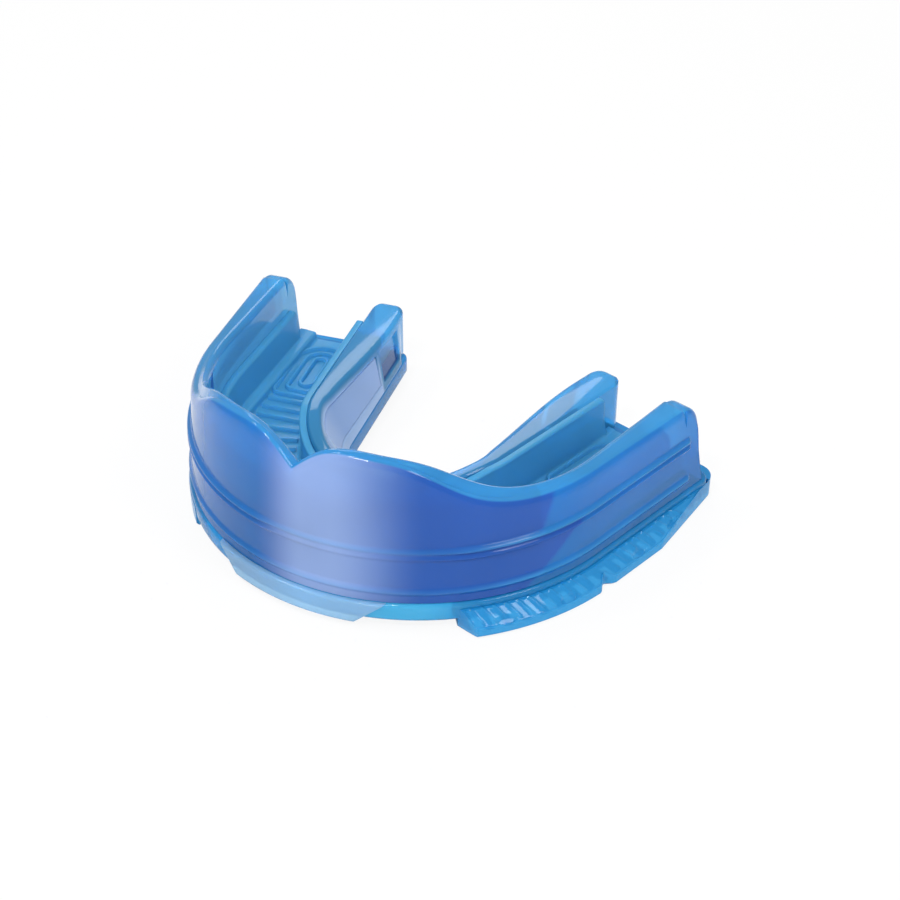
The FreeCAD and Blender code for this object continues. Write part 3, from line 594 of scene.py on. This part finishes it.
def channel_ribs(side, word):
    verts, faces = [], []
    for index in range(FRAME_COUNT):
        rib_strip(verts, faces, frame_path(index), FRAME_WIDTH, RIB_HEIGHT, True)
    for index in range(BAR_COUNT):
        along = BAR_START - BAR_PITCH * index
        bar = [(along, BAR_INSET + BAR_LENGTH * k / 8) for k in range(9)]
        rib_strip(verts, faces, bar, BAR_WIDTH, RIB_HEIGHT, False)
    placed = []
    for a, inset, z in verts:
        s = ARC + a if a >= 0 else ARC + a * R / BAR_RADIUS
        x, y = spot(s, inset)
        placed.append((side * x, y, LINER_FLOOR - 0.02 + z))
    if side < 0:
        faces = [tuple(reversed(f)) for f in faces]
    obj = mesh_piece(f"channel_grip_ribs_{word}", placed, faces, gel)
    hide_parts(f"channel_ribs_{word}")


channel_ribs(1, "right")
channel_ribs(-1, "left")

# Front bumper: a pad that widens upwards
BUMPER_BOTTOM, BUMPER_TOP, BUMPER_HEIGHT = 0.7, 3.38, 2.4
BUMPER_LOW_HALF, BUMPER_HIGH_HALF, BUMPER_STEPS = 7.5, 10.3, 60


def bumper_piece():
    corners = [(0.1, BUMPER_BOTTOM), (-0.7, BUMPER_BOTTOM), (-0.55, BUMPER_TOP), (0.1, BUMPER_TOP)]
    ring = rounded(corners, [0, 0.3, 0.3, 0])
    verts = []
    for i in range(BUMPER_STEPS + 1):
        t = -1 + 2 * i / BUMPER_STEPS
        for d, z in ring:
            half = BUMPER_LOW_HALF + (BUMPER_HIGH_HALF - BUMPER_LOW_HALF) * (z - BUMPER_BOTTOM) / BUMPER_HEIGHT
            reach = R * math.asin(half / (R - d))
            verts.append((*spot(t * reach, d), z))
    obj = mesh_piece("front_bumper_pad", verts, skin(BUMPER_STEPS + 1, len(ring)), pale)
    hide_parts("front_bumper")


bumper_piece()

# Tread pads under the molars
PAD_FRONT = R * math.radians(40.0)
PAD_END = ARC + 22.0
PAD_PROUD, PAD_FLUSH, PAD_TOP, PAD_EDGE, PAD_INSET = 2.3, 0.35, 2.6, 0.9, 16.0
PAD_SLANT, PAD_TAPER = math.tan(math.radians(36.0)), math.tan(math.radians(11.0))
PAD_TAPER_START, PAD_CORNER, PAD_BEVEL, PAD_SHELF = 9.0, 1.8, 0.3, 1.18
NOTCH_S, NOTCH_R, NOTCH_DEPTH = R * math.radians(77.0), 1.3, 0.8
TREAD_PITCH, TREAD_DEPTH, TREAD_EDGE = 2.1, 0.5, 1.0
LEDGE_START, LEDGE_SLOPE_FROM, LEDGE_SLOPE, LEDGE_STEPS = 0.25, 0.6, 1.7, 26
# Groups of ridges on the ledge: middle and half length along the arch
GROUPS = [(PAD_FRONT + 4.2, 4.9), (PAD_FRONT + 11.4, 3.8),
          (NOTCH_S + 5.2, 3.4), (NOTCH_S + 11.6, 2.4), (NOTCH_S + 17.3, 2.2)]


def pad_reach(s, side):
    """How far the pad stands out past the foot of the shield; the left one has no front lobe."""
    if side < 0 and s < NOTCH_S:
        return PAD_FLUSH
    out = min(PAD_PROUD, (s - PAD_FRONT) / PAD_SLANT)
    a = s - ARC
    if a > PAD_TAPER_START:
        out = min(out, PAD_PROUD - (a - PAD_TAPER_START) * PAD_TAPER)
    out = min(out, PAD_PROUD - NOTCH_DEPTH * bump(s, NOTCH_S, NOTCH_R))
    return max(out - eased_end(PAD_END - s, PAD_CORNER), -2.0)


def ledge_relief(s, u):
    """Ridges, pockets and the outer lip on the sloping ledge; u runs from the plate to the lip, 0 to 1."""
    lip = 0.22 * ease((u - 0.86) / 0.08) * ease((1.0 - u) / 0.06 + 0.3)
    field = max(ease((half - abs(s - mid)) / 0.5) for mid, half in GROUPS)
    phase = ((s - 1.8 * u) / 1.3) % 1.0
    ridge = 0.16 * ease(1.3 - min(phase, 1 - phase) / 0.14) * field * ease((0.84 - u) / 0.1) * ease(u / 0.1)
    pocket = 0.0
    for mid, _ in GROUPS:
        e = math.hypot(s - mid - 0.6, (u - 0.72) / 0.13)
        pocket = max(pocket, 0.25 * ease((1.25 - e) / 0.4))
    return lip + ridge * (1 if pocket < 0.01 else 0) - pocket


def pad_ring(s, side):
    """Section (inset, z) of a pad, which is round the underside with its grooves and back over the ledge."""
    reach = pad_reach(s, side)
    groove = abs(((s - PAD_FRONT) / TREAD_PITCH) % 1.0 - 0.5) < 0.2 and s < PAD_END - TREAD_EDGE
    shelf = PAD_SHELF if s < PLATE_END + 0.05 else PAD_TOP
    z = TREAD_DEPTH if groove else 0.0
    ring = [(PAD_INSET, shelf), (PAD_INSET, PAD_BEVEL), (PAD_INSET - PAD_BEVEL, 0.0), (PAD_INSET - TREAD_EDGE, 0.0),
            (PAD_INSET - TREAD_EDGE - 0.02, z), (-reach + 1.32, z), (-reach + 1.3, 0.0),
            (-reach + PAD_BEVEL, 0.0), (-reach, PAD_BEVEL)]
    start = min(LEDGE_START, reach - 0.02)
    width = reach - start
    for k in range(LEDGE_STEPS + 1):
        u = 1 - k / LEDGE_STEPS
        d = -start - width * u
        level = PAD_TOP - (PAD_TOP - PAD_EDGE) * (max(-d - LEDGE_SLOPE_FROM, 0.0) / LEDGE_SLOPE)
        ring.append((d, level + ledge_relief(s, u) * min(1.0, width / 1.2)))
    ring.append((-start + 0.05, shelf))
    return ring


def tread_pad(side, word):
    marks = spread((PAD_FRONT + 0.05, PAD_FRONT + 2.0, 0.15), (PAD_FRONT + 2.0, PAD_END - PAD_CORNER, 0.14),
                   (PAD_END - PAD_CORNER, PAD_END, 0.1))
    rings = [pad_ring(s, side) for s in marks]
    verts = []
    for s, ring in zip(marks, rings):
        for d, z in ring:
            x, y = spot(s, d)
            verts.append((side * x, y, z))
    faces = skin(len(marks), len(rings[0]), turned=side > 0)
    obj = mesh_piece(f"tread_pad_sole_{word}", verts, faces, deep, 35)
    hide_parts(f"tread_pad_{word}")


tread_pad(1, "right")
tread_pad(-1, "left")

# Impact insert in the front of the shield
INSERT_END = R * math.radians(62.0)
INSERT_OUT, INSERT_IN, INSERT_ROUND = 1.82, 3.015, 0.4
INSERT_BOTTOM, INSERT_TOP = 4.42, 14.58


def insert_profile(s):
    """The inner face stands a hair clear of the shield's own, so that it shows in the channel."""
    pull = eased_end(INSERT_END - abs(s), INSERT_ROUND)
    inner = INSERT_IN - 0.2 * pull
    low, high = INSERT_BOTTOM + pull, INSERT_TOP - pull
    return rounded([(INSERT_OUT, low), (INSERT_OUT, high), (inner, high), (inner, low)], [0.3, 0.3, 0.3, 0.3])


insert_half = spread((0, INSERT_END - INSERT_ROUND, 0.4), (INSERT_END - INSERT_ROUND, INSERT_END, 0.1))
insert = loft("front_insert_band", both_sides(insert_half), insert_profile, indigo)
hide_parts("front_insert")

# Floor, world, lamps
FLOOR_WHITE, FLOOR_COLOUR, FLOOR_HALF = 0.9, 0.9, 2
WORLD_LIGHT, WORLD_SEEN = 0.6, 1.0


def white_stage(name):
    """Pale floor that reads as nearly plain white to the camera and through clear plastic, but keeps shadows."""
    mat = bpy.data.materials.new(name)
    mat.use_nodes = True
    tree = mat.node_tree
    n, link = tree.nodes, tree.links
    n.remove(n["Principled BSDF"])
    path = n.new("ShaderNodeLightPath")
    seen = n.new("ShaderNodeMath")
    seen.operation = "MAXIMUM"
    link.new(path.outputs["Is Camera Ray"], seen.inputs[0])
    link.new(path.outputs["Is Transmission Ray"], seen.inputs[1])
    share = n.new("ShaderNodeMath")
    share.operation = "MULTIPLY"
    share.inputs[1].default_value = FLOOR_WHITE
    link.new(seen.outputs[0], share.inputs[0])
    diffuse = n.new("ShaderNodeBsdfDiffuse")
    diffuse.inputs["Color"].default_value = (FLOOR_COLOUR, FLOOR_COLOUR, FLOOR_COLOUR, 1)
    glow = n.new("ShaderNodeEmission")
    glow.inputs["Strength"].default_value = 1.0
    mix = n.new("ShaderNodeMixShader")
    link.new(share.outputs[0], mix.inputs["Fac"])
    link.new(diffuse.outputs[0], mix.inputs[1])
    link.new(glow.outputs[0], mix.inputs[2])
    link.new(mix.outputs[0], n["Material Output"].inputs["Surface"])
    return mat


floor_mesh = bpy.data.meshes.new("floor")
floor_mesh.from_pydata([(-FLOOR_HALF, -FLOOR_HALF, 0), (FLOOR_HALF, -FLOOR_HALF, 0),
                        (FLOOR_HALF, FLOOR_HALF, 0), (-FLOOR_HALF, FLOOR_HALF, 0)], [], [(0, 1, 2, 3)])
floor = bpy.data.objects.new("floor", floor_mesh)
floor.data.materials.append(white_stage("pale_floor"))
bpy.context.scene.collection.objects.link(floor)

world = bpy.data.worlds.new("studio")
bpy.context.scene.world = world
world.use_nodes = True
world_tree = world.node_tree
background = world_tree.nodes["Background"]
ray = world_tree.nodes.new("ShaderNodeLightPath")
level = world_tree.nodes.new("ShaderNodeMapRange")
level.inputs["To Min"].default_value = WORLD_LIGHT
level.inputs["To Max"].default_value = WORLD_SEEN
world_tree.links.new(ray.outputs["Is Camera Ray"], level.inputs["Value"])
world_tree.links.new(level.outputs["Result"], background.inputs["Strength"])
background.inputs["Color"].default_value = (1, 1, 1, 1)

LAMP_TARGET = Vector((0, 0, 0.01))
# name, azimuth and elevation in degrees, distance and size in metres, power in watts
LAMPS = [
    ("key", 8, 54, 0.30, (0.07, 0.035), 0.3),
    ("side", -64, 61, 0.30, (0.05, 0.05), 0.15),
    ("back", -147, 40, 0.32, (0.12, 0.10), 0.15),
    ("fill", 80, 45, 0.32, (0.10, 0.10), 0.25),
]


def towards(azimuth, elevation):
    """Unit direction from the object, in radians round from the front and up."""
    return Vector((math.sin(azimuth) * math.cos(elevation), -math.cos(azimuth) * math.cos(elevation),
                   math.sin(elevation)))


for name, azimuth, elevation, distance, extent, power in LAMPS:
    data = bpy.data.lights.new(name, "AREA")
    data.shape = "RECTANGLE"
    data.size, data.size_y = extent
    data.energy = power
    lamp = bpy.data.objects.new(name, data)
    bpy.context.scene.collection.objects.link(lamp)
    away = towards(math.radians(azimuth), math.radians(elevation))
    lamp.location = LAMP_TARGET + away * distance
    lamp.rotation_euler = away.to_track_quat("Z", "Y").to_euler()

# Camera: angles in degrees, focal length and principal point in pixels of the square image, distance in metres
AZ, EL, ROLL = math.radians(32.842), math.radians(37.550), math.radians(-1.158)
IMAGE, SENSOR, FOCAL = 900, 36.0, 1859.28
PRINCIPAL_X, PRINCIPAL_Y = 388.452, 502.688
CAMERA_DISTANCE = 0.21339
AIM = Vector((0, CENTRE - 6.9, 1.1)) * MM
toward = towards(AZ, EL)
level_right = Vector((math.cos(AZ), math.sin(AZ), 0.0))
level_up = toward.cross(level_right)
right = math.cos(ROLL) * level_right + math.sin(ROLL) * level_up
up = -math.sin(ROLL) * level_right + math.cos(ROLL) * level_up
camera_data = bpy.data.cameras.new("camera")
camera = bpy.data.objects.new("camera", camera_data)
bpy.context.scene.collection.objects.link(camera)
camera_data.sensor_width = SENSOR
camera_data.lens = FOCAL * SENSOR / IMAGE
camera_data.shift_x = (IMAGE / 2 - PRINCIPAL_X) / IMAGE
camera_data.shift_y = (PRINCIPAL_Y - IMAGE / 2) / IMAGE
camera_data.clip_start = 0.01
turn = Matrix((right, up, toward)).transposed().to_4x4()
camera.matrix_world = Matrix.Translation(AIM + toward * CAMERA_DISTANCE) @ turn
bpy.context.scene.camera = camera
bpy.context.scene.view_settings.view_transform = "Standard"
